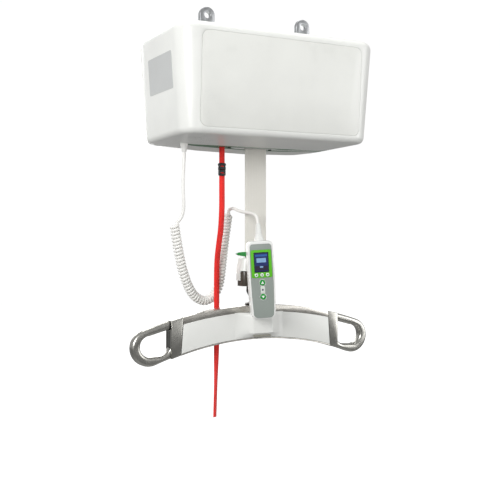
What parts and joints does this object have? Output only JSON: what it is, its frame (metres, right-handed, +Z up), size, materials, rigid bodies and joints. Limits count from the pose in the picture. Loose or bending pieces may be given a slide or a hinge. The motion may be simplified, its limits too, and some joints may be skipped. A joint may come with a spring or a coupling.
{
  "type": "patient lift hoist",
  "caption": "Overhead patient hoist: motor casing with hanging lugs, lift strap, quick-release bracket, sling bar, corded handset and red emergency pull strap",
  "frame": {"origin": "midway between the two holes of the suspension lugs, on their common axis", "axes": "+Z up, +X along the casing and the sling bar (from the gland's side towards the motor's side), the front with the handset faces -Y"},
  "size_m": [0.5374, 0.2503, 0.8203],
  "materials": {
    "casing": "satin moulded plastic",
    "front_panel": "satin moulded plastic",
    "label": "matt foil",
    "strip": "matt moulded plastic",
    "screws": "dark zinc",
    "chassis": "zinc-plated sheet",
    "lugs": "zinc-plated",
    "tray": "matt moulded plastic",
    "batteries": "matt cases",
    "board": "populated circuit board",
    "bearings": "ground steel",
    "gearbox": "cast housing",
    "motor": "dark can",
    "brake": "black can",
    "guide": "black acetal",
    "gland": "white moulded plastic",
    "drum": "turned",
    "shaft": "turned",
    "strap": "woven polyester webbing",
    "red_strap": "woven red webbing",
    "buckle": "black acetal",
    "bracket": "white moulded plastic",
    "block": "dark brown moulding",
    "pin": "turned steel",
    "cord": "white elastomer jacket",
    "handset": "satin white plastic",
    "faceplate": "grey membrane",
    "bezel": "bright green frame",
    "display": "blue display behind a dark window",
    "key_green": "green key",
    "key_white": "white key",
    "tab": "green lever",
    "stem": "blackened steel",
    "beam": "brushed and lacquered",
    "hooks": "brushed and lacquered",
    "panel": "white moulded cover",
    "latch": "dark brushed spring flap"
  },
  "bodies": {
    "casing": {"casing_front": "casing", "casing_rear": "casing", "front_panel": "front_panel", "side_label": "label", "underside_strip": "strip", "casing_screws": "screws", "chassis": "chassis", "suspension_lugs": "lugs", "battery_tray": "tray", "battery_packs": "batteries", "control_board": "board", "drum_bearings": "bearings", "gearbox": "gearbox", "motor": "motor", "brake": "brake", "strap_guide": "guide", "pull_switch": "guide", "cord_gland": "gland", "lift_strap": "strap", "cord_straight": "cord"},
    "drum": {"drum": "drum", "drum_shaft": "shaft", "strap_wound": "strap"},
    "pull": {"pull_rod": "shaft", "pull_strap_upper": "red_strap", "buckle_socket": "buckle", "buckle_plug": "buckle", "pull_strap_lower": "red_strap"},
    "bracket": {"strap_pin": "pin", "bracket_front": "bracket", "bracket_rear": "bracket", "coupling_block": "block", "lever_pin": "pin", "handset_holder": "bracket", "cord_coil": "cord", "cord_lead": "cord", "handset_front": "handset", "handset_rear": "handset", "faceplate": "faceplate", "display_bezel": "bezel", "display_window": "display", "handset_board": "board", "cord_collar": "handset"},
    "lever": {"release_lever": "tab"},
    "bar": {"swivel_stem": "stem", "bar_beam": "beam", "hook_left": "hooks", "hook_right": "hooks", "panel_front": "panel", "panel_rear": "panel", "hub_cover": "panel", "latch_pins": "pin"},
    "latch_left": {"latch_left": "latch"},
    "latch_right": {"latch_right": "latch"},
    "key_up": {"button_up": "key_green"},
    "key_down": {"button_down": "key_green"},
    "key_left": {"button_left": "key_white"},
    "key_middle": {"button_middle": "key_white"},
    "key_right": {"button_right": "key_white"}
  },
  "joints": [
    {"name": "lift", "type": "slide", "parent": "casing", "child": "bracket", "axis": [0, 0, 1], "range_m": [-2, 0.08], "deforming": ["lift_strap", "cord_straight"]},
    {"name": "drum_turn", "type": "hinge", "parent": "casing", "child": "drum", "pos_m": [0, 0.044, -0.132], "axis": [1, 0, 0], "range_deg": [-135, 2600]},
    {"name": "emergency_pull", "type": "slide", "parent": "casing", "child": "pull", "axis": [0, 0, 1], "range_m": [-0.01, 0], "stiffness_N_per_m": 900, "springref_m": 0.002},
    {"name": "bar_swivel", "type": "hinge", "parent": "bracket", "child": "bar", "pos_m": [0, 0, -0.53], "axis": [0, 0, 1], "range_deg": [-10, 10]},
    {"name": "release", "type": "hinge", "parent": "bracket", "child": "lever", "pos_m": [0.012, -0.01, -0.483], "axis": [0, 1, 0], "range_deg": [0, 15], "stiffness_Nm_per_rad": 0.3, "springref_deg": -5.73},
    {"name": "latch_right_swing", "type": "hinge", "parent": "bar", "child": "latch_right", "pos_m": [0.184, 0, -0.661], "axis": [0, 1, 0], "range_deg": [-20, 0], "stiffness_Nm_per_rad": 0.3, "springref_deg": 11.46},
    {"name": "latch_left_swing", "type": "hinge", "parent": "bar", "child": "latch_left", "pos_m": [-0.184, 0, -0.661], "axis": [0, 1, 0], "range_deg": [0, 20], "stiffness_Nm_per_rad": 0.3, "springref_deg": -11.46},
    {"name": "press_up", "type": "slide", "parent": "bracket", "child": "key_up", "axis": [0.309, 0.9511, 0], "range_m": [0, 0.0012], "stiffness_N_per_m": 250},
    {"name": "press_down", "type": "slide", "parent": "bracket", "child": "key_down", "axis": [0.309, 0.9511, 0], "range_m": [0, 0.0012], "stiffness_N_per_m": 250},
    {"name": "press_left", "type": "slide", "parent": "bracket", "child": "key_left", "axis": [0.309, 0.9511, 0], "range_m": [0, 0.0012], "stiffness_N_per_m": 250},
    {"name": "press_middle", "type": "slide", "parent": "bracket", "child": "key_middle", "axis": [0.309, 0.9511, 0], "range_m": [0, 0.0012], "stiffness_N_per_m": 250},
    {"name": "press_right", "type": "slide", "parent": "bracket", "child": "key_right", "axis": [0.309, 0.9511, 0], "range_m": [0, 0.0012], "stiffness_N_per_m": 250}
  ],
  "couplings": [
    {"joint": "drum_turn", "follows": "lift", "rad_per_m": -22.12}
  ]
}
